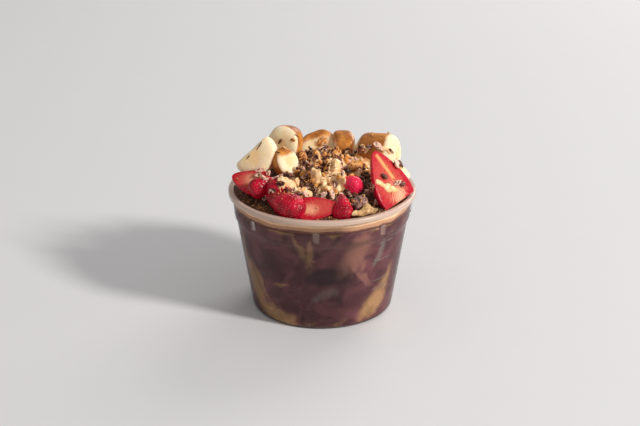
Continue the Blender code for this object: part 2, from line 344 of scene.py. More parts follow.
def wallLine(inset):
    # the cup's wall moved in by a thickness, as (radius, height) from the collar down to the foot's corner
    lean = math.degrees(math.atan2(cup["shoulder"][0] - cup["wallFoot"], cup["shoulder"][1] - cup["corner"]))
    upper = np.array([(cup["collarTop"], rimTop / mm - cup["beadTall"]), cup["collarFoot"], cup["shoulder"]])
    upper[:, 0] -= inset
    middle = (cup["wallFoot"] - cup["corner"], cup["corner"])
    return np.vstack([upper, arc(middle, cup["corner"] - inset, -lean, -90, 8)])


def insideRadius(height, inset):
    # the wall's radius at a height, moved in by a thickness (all in millimetres)
    line = wallLine(inset)[::-1]
    return np.interp(height, line[:, 1], line[:, 0])


def turnProfile(profile, around):
    # a (radius, height) profile in millimetres carried round the Z axis
    angle = np.linspace(0, math.tau, around, endpoint=False)
    radius, height = profile[:, :1] * mm, profile[:, 1:] * mm
    return np.stack([radius * np.cos(angle), radius * np.sin(angle), height + 0 * angle], -1)


def finer(profile, step):
    # extra points along a profile, so that no run of it is longer than a step
    runs = [np.linspace(a, b, max(2, int(np.hypot(*(b - a)) / step) + 1))[:-1] for a, b in zip(profile, profile[1:])]
    return np.vstack([*runs, profile[-1:]])


def makeCup():
    top = rimTop / mm
    foot = top - cup["beadTall"]
    rim = rimRadius / mm
    bend = cup["beadRound"]
    inner = cup["collarTop"] - cup["wall"]
    bead = np.vstack([
        arc((inner + 0.6, top - 0.6), 0.6, 180, 90, 5),
        arc((rim - bend, top - bend), bend, 90, 0, 7),
        arc((rim - 0.7, foot + 0.7), 0.7, 0, -90, 5),
        arc((cup["collarTop"] + 0.5, foot - 0.4), 0.4, 90, 180, 4),
    ])
    line = np.vstack([[(0.4, cup["wall"])], wallLine(cup["wall"])[::-1], bead, wallLine(0)[1:], [(0.4, 0)]])
    profile = finer(line, 3.0)
    rings = turnProfile(profile, cup["around"])
    inBead = ease(foot - 0.6, foot + 0.3, profile[:, 1])
    edge = 0.07 * np.exp(-((profile[:, 1] - cup["shoulder"][1] - 1) / 1.6) ** 2)
    low = 0.12 * ease(3.0, 0.5, profile[:, 1])
    milk = np.clip(inBead + edge + low, 0, 1)[:, None] + np.zeros(cup["around"])
    makePiece("cupShell", closeRings(rings), clearPlastic, ["cup"], {"milk": withPoles(milk)})


def pad(bearing, height, wide, tall, proud, sunk):
    # a small rounded pad on the cup's wall: a box bulged by a superellipse, half sunk in the wall
    rise, spin = np.meshgrid(np.linspace(-1, 1, 9)[1:-1] * math.pi / 2, np.linspace(0, math.tau, 24, endpoint=False),
                             indexing="ij")
    power = lambda v: np.sign(v) * np.abs(v) ** 0.35
    across = power(np.cos(rise)) * power(np.cos(spin)) * wide / 2
    upward = power(np.cos(rise)) * power(np.sin(spin)) * tall / 2
    outward = power(np.sin(rise)) * (proud + sunk) / 2 + (proud - sunk) / 2
    level = height + upward
    radius = insideRadius(level, 0) + outward
    turned = np.radians(bearing) + across / radius
    return np.stack([radius * np.cos(turned), radius * np.sin(turned), level], -1) * mm


def makeCupMarks():
    bearings = cup["lugFirst"] + 360 / cup["lugs"] * np.arange(cup["lugs"])
    lugs = [closeRings(pad(b, cup["lugZ"], cup["lugWide"], cup["lugTall"], cup["lugProud"], 0.4)) for b in bearings]
    skin = joinSkins(lugs)
    makePiece("cupLugs", skin, clearPlastic, (), {"milk": np.full(len(skin[0]), 0.13)})
    ticks = [closeRings(pad(cup["tickBearing"], z, cup["tickLong"], 0.7, 0.12, 0.3)) for z in cup["ticks"]]
    skin = joinSkins(ticks)
    makePiece("cupTicks", skin, clearPlastic, (), {"milk": np.full(len(skin[0]), 0.03)})


def makeClearPlastic():
    # clear where thin and milky where thick: the milk mark sets how much of the white shows
    look = bpy.data.materials.new("clearPlastic")
    look.use_nodes = True
    tree = look.node_tree
    wire = Wire(tree)
    place = wire.node("ShaderNodeTexCoord", output="Object")
    milk = wire.mark("milk")
    cloud = place.noise(9, 3)
    white = tree.nodes["Principled BSDF"]
    # the white is tinted warm: painted light from the food behind the plastic
    white.inputs["Base Color"].default_value = rgba(cup["milkyAndFoodGlow"])
    white.inputs["Roughness"].default_value = 0.32
    white.inputs["Subsurface Weight"].default_value = 0.0
    clear = tree.nodes.new("ShaderNodeBsdfTransparent")
    shine = tree.nodes.new("ShaderNodeBsdfGlossy")
    shine.inputs["Roughness"].default_value = 0.16
    share = cup["haze"] * (0.7 + 0.6 * cloud) + 0.84 * milk
    body = tree.nodes.new("ShaderNodeMixShader")
    tree.links.new(share.socket, body.inputs[0])
    tree.links.new(clear.outputs[0], body.inputs[1])
    tree.links.new(white.outputs[0], body.inputs[2])
    glance = wire.node("ShaderNodeFresnel", {}, {"IOR": cup["glanceIor"]})
    skin = tree.nodes.new("ShaderNodeMixShader")
    tree.links.new(glance.socket, skin.inputs[0])
    tree.links.new(body.outputs[0], skin.inputs[1])
    tree.links.new(shine.outputs[0], skin.inputs[2])
    tree.links.new(skin.outputs[0], tree.nodes["Material Output"].inputs["Surface"])
    return look


clearPlastic = makeClearPlastic()
makeCup()
makeCupMarks()
print("cup is made")


# ---- acai

acai = {
    "edge": 67.5, "crown": 1.5, "intoWall": 0.3, "around": 410,
    "dark": (0.080, 0.023, 0.029), "light": (0.185, 0.060, 0.068), "tan": (0.50, 0.28, 0.125),
    "grey": (0.22, 0.17, 0.15), "deep": (0.050, 0.016, 0.021), "rosy": (0.36, 0.16, 0.115),
    # patches on the wall: bearing, height, half length, half width (mm), lean (degrees), strength
    "tanPatches": [
        (-152, 22, 24, 7.5, -58, 1.0), (-129, 5, 20, 7.0, -14, 1.0), (-144, 28, 15, 3.4, -56, 0.75),
        (-122, 29, 9, 1.6, 14, 0.6), (-104, 56, 12, 3.4, -62, 0.6), (-99, 54, 13, 3.0, 86, 0.65),
        (-46, 13, 16, 8.5, 34, 1.0), (-36, 28, 11, 5.0, 62, 0.7), (-117, 69, 11, 4.5, -6, 0.85),
        (-82, 69, 10, 3.0, 4, 0.7), (-48, 69, 13, 3.0, 0, 0.7), (-146, 69, 9, 3.0, 0, 0.6),
        (-76, 4, 5, 3.0, 20, 0.6), (-101, 3, 5, 2.6, 0, 0.5), (-158, 47, 12, 3.0, -80, 0.7),
    ],
    "rosyPatches": [(-67, 52, 18, 9.0, 53, 0.9), (-62, 53, 16, 4.5, 88, 0.9), (-58, 34, 11, 2.6, -45, 0.8)],
    "greyPatches": [(-48, 48, 10, 3.6, 58, 1.0), (-87, 25, 12, 4.6, 10, 0.8), (-42, 60, 10, 2.0, 12, 0.6)],
    "deepPatches": [(-83, 38, 20, 6.5, -3, 1.0), (-131, 45, 14, 10, 30, 0.5)],
    "backPatches": 22,
}


def patchMask(points, patches):
    # how strongly a set of patches shows at each point of the wall: leaning ellipses on the unrolled
    # wall, their edges torn by ripples
    x, y, z = np.moveaxis(points / mm, -1, 0)
    bearing = np.degrees(np.arctan2(y, x))
    torn = ripple(points, 12 * mm, 21) * 2.2 + ripple(points, 5 * mm, 22) * 1.2 + ripple(points, 2 * mm, 23) * 0.5
    mask = np.zeros(points.shape[:-1])
    for middle, height, long, wide, lean, strength in patches:
        across = np.radians((bearing - middle + 180) % 360 - 180) * cup["collarFoot"][0]
        upward = z - height
        tilt = math.radians(lean)
        along = (across * math.cos(tilt) + upward * math.sin(tilt) + torn * 1.3) / long
        aside = (-across * math.sin(tilt) + upward * math.cos(tilt) + torn) / wide
        mask = np.maximum(mask, strength * ease(1.6, 0.25, np.hypot(along, aside)))
    return mask


def hiddenPatches():
    # tan patches of the same kind round the sides and the back
    rng = np.random.default_rng(4)
    low = np.array([-20, 6, 6, 1.5, -70, 0.4])
    high = np.array([200, 62, 18, 4.5, 80, 0.9])
    return rng.uniform(low, high, (acai["backPatches"], 6))


def makeAcai():
    reach = cup["wall"] - acai["intoWall"]
    line = wallLine(reach)
    line = line[line[:, 1] < acai["edge"]]
    edge = insideRadius(acai["edge"], reach)
    crown = [(0.5, acai["edge"] + acai["crown"]), (edge / 2, acai["edge"] + acai["crown"] * 0.75)]
    low = cup["wall"] - 0.2
    profile = finer(np.vstack([crown, [(edge, acai["edge"])], line[:-1], [(line[-1][0], low), (0.5, low)]]), 0.7)
    rings = turnProfile(profile, acai["around"])
    marks = {
        "tan": patchMask(rings, [*acai["tanPatches"], *hiddenPatches()]),
        "rosy": patchMask(rings, acai["rosyPatches"]),
        "grey": patchMask(rings, acai["greyPatches"]),
        "deep": patchMask(rings, acai["deepPatches"]),
    }

    def paint(place):
        cloud = place.noise(16, 4, 0.6, 0.9)
        grain = place.noise(1.3, 3)
        torn = (grain - 0.5) * 0.35
        puree = cloud.between(0.35, 0.68).mix(acai["dark"], acai["light"])
        puree = (place.mark("deep") + torn).between(0.2, 0.8).mix(puree, acai["deep"])
        puree = ((place.mark("rosy") + torn).between(0.15, 1.1) * 0.8).mix(puree, acai["rosy"])
        puree = ((place.mark("grey") + torn).between(0.3, 1.1) * 0.75).mix(puree, acai["grey"])
        puree = (place.noise(5, 5, 0.7).between(0.60, 0.8) * 0.35).mix(puree, acai["grey"])
        fleck = (place.mark("tan") + torn * 1.2).between(0.1, 0.95) * 0.9
        tan = cloud.between(0.4, 0.6).mix([c * 0.7 for c in acai["tan"]], acai["tan"])
        return {"Base Color": fleck.mix(puree, tan),
                "Normal": place.bump(cloud + grain * 0.3, 0.4)}

    look = makeLook("acaiPuree", paint, {"Roughness": 0.5, "Specular IOR Level": 0.3})
    marks = {name: withPoles(mask) for name, mask in marks.items()}
    makePiece("acaiFilling", closeRings(rings), look, ["acai"], marks)


makeAcai()
print("acai is made")


# ---- bed of granola

bed = {
    "edge": 75.6, "rise": 16.5, "fall": 1.6, "back": 7.0, "relief": 0.8, "around": 360, "rows": 130,
    # the near-black: burnt granola, and painted shade for the dark gaps between the pieces lying on the bed
    "brown": (0.19, 0.075, 0.03), "toast": (0.46, 0.24, 0.10), "burntAndGapShade": (0.05, 0.020, 0.012),
    "pressed": (0.62, 0.33, 0.19), "line": (1.0, 0.68, 0.42), "lineAt": 72.4, "wine": (0.19, 0.078, 0.062),
    # a dark band just under the rim's bead: painted shadow of the bead
    "seam": (0.17, 0.075, 0.045), "beadShadowAt": 73.9,
}


def bedHeight(reach):
    # height of the heap's core above its edge at a share of the way out: a bell (1 - r^2)^p
    return bed["rise"] * np.clip(1 - reach ** 2, 0, 1) ** bed["fall"]


def makeBed():
    reach = cup["wall"] - acai["intoWall"]
    radius = insideRadius(bed["edge"], reach)
    share = np.linspace(0.01, 1, bed["rows"])[:, None]
    angle = np.linspace(0, math.tau, bed["around"], endpoint=False)
    x = radius * share * np.cos(angle)
    y = radius * share * np.sin(angle) + bed["back"] * (1 - share ** 2)
    top = np.stack([x, y, bed["edge"] + bedHeight(share) + 0 * angle], -1) * mm
    rough = ripple(top, 5 * mm, 31) * 0.7 + ripple(top, 2.2 * mm, 32) * 0.8 + np.abs(ripple(top, 1.1 * mm, 33)) * 0.7
    top[..., 2] += rough * bed["relief"] * mm * ease(1.0, 0.93, share)
    below = acai["edge"] + 0.3
    side = np.array([(insideRadius(z, reach), z) for z in np.linspace(bed["edge"], below, 14)[1:]])
    under = [(insideRadius(below, reach) / 2, below + acai["crown"] * 0.75), (0.5, below + acai["crown"])]
    rings = np.concatenate([top, turnProfile(np.vstack([side, under]), bed["around"])])

    def paint(place):
        crumb = place.cells(1.7)
        patch = place.noise(4, 4, 0.65)
        # patches of near-black: burnt granola, and painted shade of the gaps between the pieces on top
        tone = patch.between(0.36, 0.64).mix(bed["burntAndGapShade"], bed["brown"])
        bright = (place.noise(1.6, 3).between(0.55, 0.68)) * 0.8
        tone = bright.mix(tone, bed["toast"])
        cloud = place.noise(6, 3, 0.5) - 0.5
        pressed = (place.mark("wine") + cloud * 1.1).between(0.25, 0.85).mix(bed["pressed"], bed["wine"])
        pressed = (place.mark("line") + cloud * 0.9).between(0.3, 0.8).mix(pressed, bed["line"])
        # painted shadow of the rim's bead, on the side seen through the wall
        pressed = place.mark("seam").mix(pressed, bed["seam"])
        side = place.mark("side")
        return {"Base Color": side.mix(tone, pressed),
                "Normal": place.bump((crumb + patch) * (1 - side * 0.85), 0.9)}

    look = makeLook("granolaBed", paint, {"Roughness": 0.75, "Specular IOR Level": 0.25})
    skin = closeRings(rings)
    side = np.repeat((np.arange(len(rings)) >= bed["rows"])[:, None], bed["around"], 1).astype(float)
    height = rings[..., 2] / mm + ripple(rings, 18 * mm, 35) * 0.8
    line = np.exp(-((height - bed["lineAt"]) / 1.0) ** 2)
    makePiece("granolaCore", skin, look, ["granola"],
              {"side": withPoles(side), "line": withPoles(line), "wine": withPoles(ease(70.9, 68.2, height)),
               "seam": withPoles(ease(bed["beadShadowAt"] - 0.7, bed["beadShadowAt"], height))})
    return skin


ground = {"core": makeBed()}
print("granola bed is made")


# ---- bananas

bananas = {
    # where each stands (bearing, out, lift), how it lies (turn, tip, roll), across, long, thick, where one
    # side is cut straight, and how brown its side and its faces are
    "banana_1": ((176, 41.5, 20.2), (-110, 22, -42), (27.0, 28.5, 11.0), 3.0, 0.2, 0.0),
    "banana_2": ((-175, 22.8, 16.4), (-48, 35, 0), (16.5, 20.0, 8.5), None, 0.8, 0.85),
    "banana_3": ((135.5, 33.2, 19.6), (-117, 11, -20), (22.5, 25.5, 13.0), None, 1.0, 0.1),
    "banana_4": ((91.5, 32.5, 11.8), (-95, 46, 10), (27.0, 28.5, 11.0), None, 1.0, 0.85),
    "banana_5": ((66.3, 35.6, 12.2), (6, 5, 0), (25.0, 25.5, 14.0), None, 1.0, 0.6),
    "banana_6": ((31.5, 41.6, 13.2), (-22, 5, 10), (27.0, 28.0, 25.0), None, 1.0, 0.34),
    "banana_7": ((10, 48.0, 6.4), (-5, 52, 30), (15.0, 19.0, 7.0), None, 0.4, 0.1),
}
bananaLook = {
    "cream": (0.99, 0.70, 0.37), "pale": (1.0, 0.80, 0.55), "heart": (0.94, 0.60, 0.28),
    "gold": (0.76, 0.30, 0.052), "brown": (0.38, 0.125, 0.022), "around": 96, "rows": 44, "squareness": 4.5,
}


def bananaRings(size, cutAt):
    # a disc whose section is a superellipse: flat faces, full round edge, five faint flats round it
    across, long, thick = np.array(size) * mm
    tilt = np.linspace(0.02, math.pi - 0.02, bananaLook["rows"])[:, None]
    angle = np.linspace(0, math.tau, bananaLook["around"], endpoint=False)
    power = 2 / bananaLook["squareness"]
    out = np.sin(tilt) ** power
    level = np.sign(np.cos(tilt)) * np.abs(np.cos(tilt)) ** power
    swell = 1 + 0.02 * np.cos(5 * angle + 0.6)
    radius = swell / np.hypot(np.cos(angle) / (across / 2), np.sin(angle) / (long / 2))
    if cutAt is not None:
        wall = cutAt * mm / np.maximum(-np.cos(angle), 1e-3)
        radius = softLeast(radius, wall, 9)
    x = out * radius * np.cos(angle)
    y = out * radius * np.sin(angle)
    crown = 1 + 0.05 * (1 - out ** 2)
    return np.stack([x, y, level * crown * thick / 2 + 0 * angle], -1), out + 0 * angle, level + 0 * angle


def makeBananas():
    def paint(place):
        out = place.mark("out")
        coat = place.mark("coat")
        mottle = place.noise(7, 4, 0.6)
        fine = place.noise(1.2, 3)
        heart = (1 - out.between(0.15, 0.5)) * 0.55
        flesh = (mottle * 0.7 + out * 0.35).between(0.3, 0.8).mix(bananaLook["cream"], bananaLook["pale"])
        flesh = heart.mix(flesh, bananaLook["heart"])
        stain = (coat + (mottle - 0.5) * 0.9 + (fine - 0.5) * 0.15).between(0.3, 0.75)
        toasted = place.noise(9, 3).between(0.4, 0.7).mix(bananaLook["brown"], bananaLook["gold"])
        wet = 0.42 - stain * 0.12
        return {"Base Color": stain.mix(flesh, toasted), "Roughness": wet,
                "Normal": place.bump(fine * 0.5 + mottle, 0.35)}

    look = makeLook("bananaFlesh", paint, {"Subsurface Weight": 0.55, "Subsurface Radius": (1.0, 0.6, 0.32),
                                           "Subsurface Scale": 4 * mm, "Specular IOR Level": 0.3})
    for name, (where, how, size, cutAt, sideBrown, faceBrown) in bananas.items():
        rings, out, level = bananaRings(size, cutAt)
        lower = 0.3 + 0.7 * ease(0.1, 0.8, rings[..., 1] / (size[1] / 2 * mm))  # its face is paler low down
        seed = int(name[-1])
        inset = 0.6 * (ripple(rings, 13 * mm, 40 + seed) - 0.5) * mm
        rings = rings * (1 + inset[..., None] / (np.linalg.norm(rings, axis=-1, keepdims=True) + 4 * mm))
        rings = standAt(lieAs(rings, how), where)
        side = ease(0.90, 0.99, out) * ease(0.95, 0.1, level)  # fades towards the face that shows
        coat = side * sideBrown + faceBrown * lower
        skin = closeRings(rings)
        ground[name] = skin
        makePiece(name.replace("_", "Slice"), skin, look, [name],
                  {"out": withPoles(out), "coat": withPoles(coat)})


makeBananas()
print("bananas are made")


# ---- strawberries

berries = {
    # where each stands (bearing, out, lift), how it lies (turn, tip, roll), across, long, deep, where its
    # stem end is cut straight, how pale its cut face is, where along it that is palest, and how much painted light
    # brightens its skin
    "strawberry_1": ((-162.5, 46.4, 9.6), (-112, 64, 84), (20.0, 25.0, 9.0), None, 0.75, -0.1, 0.1),
    "strawberry_2": ((-147, 43.0, 8.2), (52, -42, 30), (13.0, 16.5, 9.0), None, 0.5, -0.2, 0.0),
    "strawberry_3": ((-118, 45.5, 3.2), (70, -40, -72), (17.0, 29.0, 11.0), None, 0.5, -0.2, 0.0),
    "strawberry_4": ((-93, 47.3, 4.4), (-86, 38, -86), (15.0, 27.0, 8.0), None, 0.68, -0.24, 0.1),
    "strawberry_5": ((-75, 44.5, 2.4), (112, -35, 10), (13.0, 18.0, 9.0), None, 0.5, -0.2, 0.05),
    "strawberry_6": ((-54, 27.5, 8.8), (80, -60, -78), (12.5, 18.0, 8.0), None, 0.5, -0.2, 1.0),
    "strawberry_7": ((-28, 47.2, 11.0), (-42, 32, 8), (32.0, 43.0, 10.5), 12.5, 0.9, -0.28, 0.1),
    "strawberry_8": ((-132, 36.5, 7.8), (60, -62, 60), (14.0, 19.0, 9.0), None, 0.4, -0.2, 0.1),
}
berryLook = {
    "slitLean": 0.24, "taper": 0.42, "widest": 1.075, "rows": 84, "around": 150, "seedGap": 2.7, "dimpleDeep": 0.32,
    "dimpleWide": 0.62, "skin": (0.62, 0.002, 0.030), "skinDark": (0.30, 0.001, 0.013),
    "flesh": (0.58, 0.060, 0.046), "pale": (0.92, 0.47, 0.27), "ring": (0.50, 0.002, 0.018),
    # the brighter, pinker skin is painted light, for a berry that faces the light
    "fresh": (0.88, 0.022, 0.085), "lining": (0.90, 0.40, 0.14),
    "seed": (0.46, 0.10, 0.035), "seedLight": (0.70, 0.33, 0.12), "seedSize": (0.8, 0.5, 0.6),
}


def berrySurface(size, stemAt, axis, angle):
    # half an egg, cut flat: in each slice across its axis, a half ellipse met by the cut, corners rounded;
    # the slices beyond a straight stem end lie in it
    across, long, deep = np.array(size) * mm
    girth = np.sqrt(1 - axis ** 2) * (1 - berryLook["taper"] * axis) / berryLook["widest"]
    wide = girth * across / 2
    down = girth * deep
    eye = 0.42 * down  # the slice is seen from a point this far under the cut
    cosine, sine = np.cos(angle), np.sin(angle)
    a = (cosine / wide) ** 2 + (sine / down) ** 2
    b = -eye * sine / down ** 2
    c = (eye / down) ** 2 - 1
    shell = (-b + np.sqrt(b * b - a * c)) / a
    cut = eye / np.maximum(sine, 1e-4)
    reach = softLeast(shell, cut, 14)
    x = reach * cosine
    z = reach * sine - eye
    onCut = ease(1.15, 1.0, cut / shell)
    y = axis * long / 2 + 0 * x
    if stemAt is not None:
        behind = y < -stemAt * mm
        y = np.where(y < 0, -softLeast(np.abs(y), stemAt * mm, 16), y)
        onCut = np.maximum(onCut, behind)
    return np.stack([x, y, z], -1), onCut, np.hypot(x / (wide / girth), axis)


def seedSpots(size, gap):
    # staggered rows of seeds over the skin side: (axis, angle) pairs a gap apart
    long = size[1]
    rows = np.arange(-long / 2 + gap, long / 2 - gap * 0.5, gap * 0.86)
    spots = []
    for number, row in enumerate(rows):
        axis = row / (long / 2)
        girth = math.sqrt(1 - axis ** 2) * (1 - berryLook["taper"] * axis)
        count = max(3, int(math.pi * girth * (size[0] / 2 + size[2]) / 2 / gap))
        angles = math.pi + (np.arange(count) + 0.25 + 0.5 * (number % 2)) / count * math.pi
        spots += [(axis, angle) for angle in angles]
    return np.array(spots).T


def makeBerries():
    def paint(place):
        cut = place.mark("cut")
        rim = place.mark("rim")
        pale = place.mark("pale")
        cloud = place.noise(6, 4)
        fine = place.noise(0.9, 3)
        skin = cloud.between(0.35, 0.65).mix(berryLook["skinDark"], berryLook["skin"])
        # painted light: a brighter, pinker skin where a berry faces the light
        skin = (place.mark("fresh") * (0.5 + fine)).mix(skin, berryLook["fresh"])
        spoke = place.mark("spoke")
        core = (1 - (place.mark("core") + (cloud - 0.5) * 0.5 + (spoke - 0.5) * 0.3).between(0.1, 0.95)) * pale
        flesh = core.mix(berryLook["flesh"], berryLook["pale"])
        edge = (rim + (fine - 0.5) * 0.25 + (spoke - 0.5) * 0.15).between(0.5, 0.92)
        inside = edge.mix(flesh, berryLook["ring"])
        inside = place.mark("lining").mix(inside, berryLook["lining"])
        return {"Base Color": cut.mix(skin, inside), "Roughness": 0.22 + cut * 0.16,
                "Normal": place.bump(fine + cloud * 2 * cut, 0.25)}

    look = makeLook("strawberryFlesh", paint, {"Subsurface Weight": 0.08, "Subsurface Radius": (1.0, 0.25, 0.2),
                    "Subsurface Scale": 1.0 * mm, "Coat Weight": 0.14, "Coat Roughness": 0.08,
                    "Specular IOR Level": 0.2})
    seeds = []
    for name, (where, how, size, stemAt, pale, palest, fresh) in berries.items():
        number = int(name.split("_")[1])
        axis = -np.cos(np.linspace(0.06, math.pi - 0.06, berryLook["rows"]))[:, None]
        angle = np.linspace(0, math.tau, berryLook["around"], endpoint=False)
        rings, cut, rim = berrySurface(size, stemAt, axis, angle)
        spots = seedSpots(size, berryLook["seedGap"])
        if stemAt is not None:
            spots = spots[:, spots[0] * size[1] / 2 > 1 - stemAt]
        spots = spots + np.random.default_rng(60 + number).normal(0, 0.02, spots.shape)
        holes = berrySurface(size, stemAt, np.clip(spots[0], -0.97, 0.97), spots[1])[0]
        middle = np.array([0, 0, -0.42 * size[2] * mm])
        apart = np.linalg.norm(rings[:, :, None] - holes, axis=-1).min(-1) / mm
        dent = berryLook["dimpleDeep"] * mm * np.exp(-(apart / berryLook["dimpleWide"]) ** 2)
        outward = rings - middle * [0, 0, 1] - [0, 1, 0] * rings * 0.8
        outward /= np.linalg.norm(outward, axis=-1, keepdims=True)
        uneven = ripple(rings, 11 * mm, 70 + number) * 0.45 * mm * (1 - cut)
        rough = ripple(rings, 3 * mm, 90 + number) * 0.14 * mm * cut
        flat = rings
        rings = rings + outward * (uneven - dent + rough)[..., None]
        aim = holes - middle * [0, 0, 1] - [0, 1, 0] * holes * 0.8
        seeds.append((where, how, holes, aim / np.linalg.norm(aim, axis=-1, keepdims=True)))
        skin = closeRings(standAt(lieAs(rings, how), where))
        ground[name] = skin
        x, y = flat[..., 0] / mm / size[0], flat[..., 1] / mm / size[1]
        toCore = np.hypot((x - 0.06) / 0.36, (y - palest) / 0.38)
        lining = np.exp(-((x - berryLook["slitLean"] * (0.5 - y)) / 0.04) ** 2) * ease(0.0, 0.05, y) * ease(0.47, 0.42, y)
        spin = np.arctan2(x, y)
        spoke = 0.5 + 0.5 * np.sin(spin * 26 + ripple(flat, 5 * mm, 110 + number) * 3)
        makePiece(name.replace("strawberry_", "strawberry"), skin, look, [name],
                  {"cut": withPoles(cut), "rim": withPoles(rim + 0.3 * np.maximum(x, 0)), "pale": np.full(len(skin[0]), pale),
                   "spoke": withPoles(spoke), "core": withPoles(toCore), "lining": withPoles(lining * (stemAt is not None)),
                   "fresh": np.full(len(skin[0]), fresh)})
    return seeds


berrySeeds = makeBerries()
print("strawberries are made")


def dropForms(rng, kinds, rows, cols, squash, rough, dish=0.0):
    # small closed forms: balls of a few rings, squashed along Z, dented at random, and if dished hollowed
    # from above. Each comes with a fleck for every point: random, or highest round the hollow's lip, where the nibs'
    # husk and painted highlight show
    forms = []
    for _ in range(kinds):
        rise = (np.arange(rows) + 1) / (rows + 1) * math.pi
        spin = np.arange(cols) / cols * math.tau
        radius = rng.uniform(1 - rough, 1 + rough * 0.5, (rows, cols))
        ring = np.sin(rise)[:, None] * radius
        level = np.cos(rise)[:, None] * radius
        level = np.where(level > 0, level * (1 - dish * (1 - ring)), level)
        rings = np.stack([ring * np.cos(spin), ring * np.sin(spin), level - dish * 0.5 * (ring < 0.6)], -1)
        # the lip of the hollow carries the painted highlight on the nibs
        lip = np.exp(-((np.arange(rows) - 1) / 0.8) ** 2)[:, None] * dish
        points, faces = closeRings(rings * np.array([1, rng.uniform(0.55, 0.95), squash]) * 0.5)
        fleck = rng.uniform(0, 1, (rows, cols)) * (1 - dish) + lip
        forms.append((points, faces, withPoles(fleck)))
    return forms


def copies(forms, picks, places, frames, sizes):
    # many copies of the forms as one skin: each turned by its frame (rows are its axes), sized and placed;
    # with which copy each point belongs to, and its fleck
    skins, owner, flecks = [], [], []
    for number, (points, faces, fleck) in enumerate(forms):
        chosen = np.flatnonzero(picks == number)
        moved = np.einsum("vi,nij->nvj", points, frames[chosen] * sizes[chosen, :, None]) + places[chosen, None]
        steps = np.arange(len(chosen))[:, None, None] * len(points)
        skins.append((moved.reshape(-1, 3), [(block[None] + steps).reshape(-1, block.shape[1]) for block in faces]))
        owner.append(np.repeat(chosen, len(points)))
        flecks.append(np.tile(fleck, len(chosen)))
    return joinSkins(skins), np.concatenate(owner), np.concatenate(flecks)


def framesOn(normals, rng, tilt):
    # a frame for each normal: its Z is the normal leant by a random tilt, its X any way round
    lean = normals + rng.normal(0, tilt, normals.shape)
    lean /= np.linalg.norm(lean, axis=1)[:, None]
    side = np.cross(lean, rng.normal(size=normals.shape))
    side /= np.linalg.norm(side, axis=1)[:, None]
    return np.stack([side, np.cross(lean, side), lean], 1)


# ---- strawberry seeds

def makeSeeds():
    rng = np.random.default_rng(11)
    forms = dropForms(rng, 3, 3, 6, 0.45, 0.12)
    places, normals = [], []
    for where, how, holes, aims in berrySeeds:
        normals.append(lieAs(aims, how))
        places.append(standAt(lieAs(holes, how), where) - normals[-1] * 0.22 * mm)
    places, normals = np.vstack(places), np.vstack(normals)
    sizes = np.array(berryLook["seedSize"]) * rng.uniform(0.8, 1.15, (len(places), 1)) * mm
    picks = rng.integers(0, len(forms), len(places))
    skin, owner, _ = copies(forms, picks, places, framesOn(normals, rng, 0.05), sizes)

    def paint(place):
        return {"Base Color": place.mark("tint").between(0.55, 1.0).mix(berryLook["seed"], berryLook["seedLight"])}

    look = makeLook("berrySeed", paint, {"Roughness": 0.3})
    makePiece("strawberrySeeds", skin, look, (), {"tint": rng.uniform(0, 1, len(places))[owner]})


makeSeeds()
print("strawberry seeds are made")


# ---- the two loose pieces at the front

cluster = {"how": (-60, 70, 20), "size": (13.0, 9.0, 8.0), "rows": 50, "around": 80,
           "dark": (0.07, 0.022, 0.018), "mauve": (0.30, 0.135, 0.105), "pale": (0.60, 0.38, 0.27)}
flake = {"how": (-72, 62, -84), "size": (5.5, 17.0, 1.0), "rows": 70, "around": 32, "curl": 8.8, "ripple": 0.6,
         "brown": (0.46, 0.24, 0.085), "gold": (0.78, 0.52, 0.25)}


def makeCluster():
    # a ball stretched to its size and swollen by ripples of three lengths, so that it looks stuck together
    tilt = np.linspace(0.06, math.pi - 0.06, cluster["rows"])[:, None]
    spin = np.linspace(0, math.tau, cluster["around"], endpoint=False)
    ball = np.stack([np.sin(tilt) * np.cos(spin), np.sin(tilt) * np.sin(spin), np.cos(tilt) + 0 * spin], -1)
    swell = 0.86 + 0.16 * np.abs(ripple(ball, 0.9, 3)) + 0.10 * ripple(ball, 0.42, 5) + 0.05 * ripple(ball, 0.2, 6)
    rings = ball * swell[..., None] * np.array(cluster["size"]) / 2 * mm

    def paint(place):
        lump = place.noise(2.6, 4)
        tone = lump.between(0.38, 0.55).mix(cluster["dark"], cluster["mauve"])
        pale = place.noise(1.7, 3).between(0.54, 0.66)
        return {"Base Color": pale.mix(tone, cluster["pale"]), "Normal": place.bump(lump + place.noise(0.7, 3), 0.6)}

    skin = closeRings(putIn(lieAs(rings, cluster["how"]), "cluster"))
    look = makeLook("nutCluster", paint, {"Roughness": 0.6})
    makePiece("nutCluster", skin, look, ["cluster"])
    ground["cluster"] = skin


def makeFlake():
    # a leaf-shaped section carried along Y: width 1 - (2t)^2 rounded, its ends curled up by the square of t
    across, long, thick = np.array(flake["size"]) * mm
    t = np.linspace(-0.49, 0.49, flake["rows"])[:, None]
    spin = np.linspace(0, math.tau, flake["around"], endpoint=False)
    narrow = (1 - (2 * t) ** 2) ** 0.6
    x = narrow * across / 2 * np.cos(spin) * (1 + 0.2 * np.sin(9 * t))
    z = narrow ** 0.5 * thick / 2 * np.sin(spin) + (flake["curl"] * t * t + flake["ripple"] * np.sin(14 * t)) * mm
    rings = np.stack([x, t * long + 0 * x, z + 3 * x * x / across], -1)
    rings[..., 2] += ripple(rings, 2.5 * mm, 8) * 0.18 * mm

    def paint(place):
        tone = place.noise(2.2, 4).between(0.36, 0.64)
        return {"Base Color": tone.mix(flake["brown"], flake["gold"]), "Normal": place.bump(place.noise(0.7, 3), 0.3)}

    skin = closeRings(putIn(lieAs(rings, flake["how"]), "flake"))
    makePiece("toastedFlake", skin, makeLook("toastedFlake", paint, {"Roughness": 0.55}), ["flake"])
    ground["flake"] = skin


makeCluster()
makeFlake()
print("nut cluster and toasted flake are made")


# ---- what lies loose on top

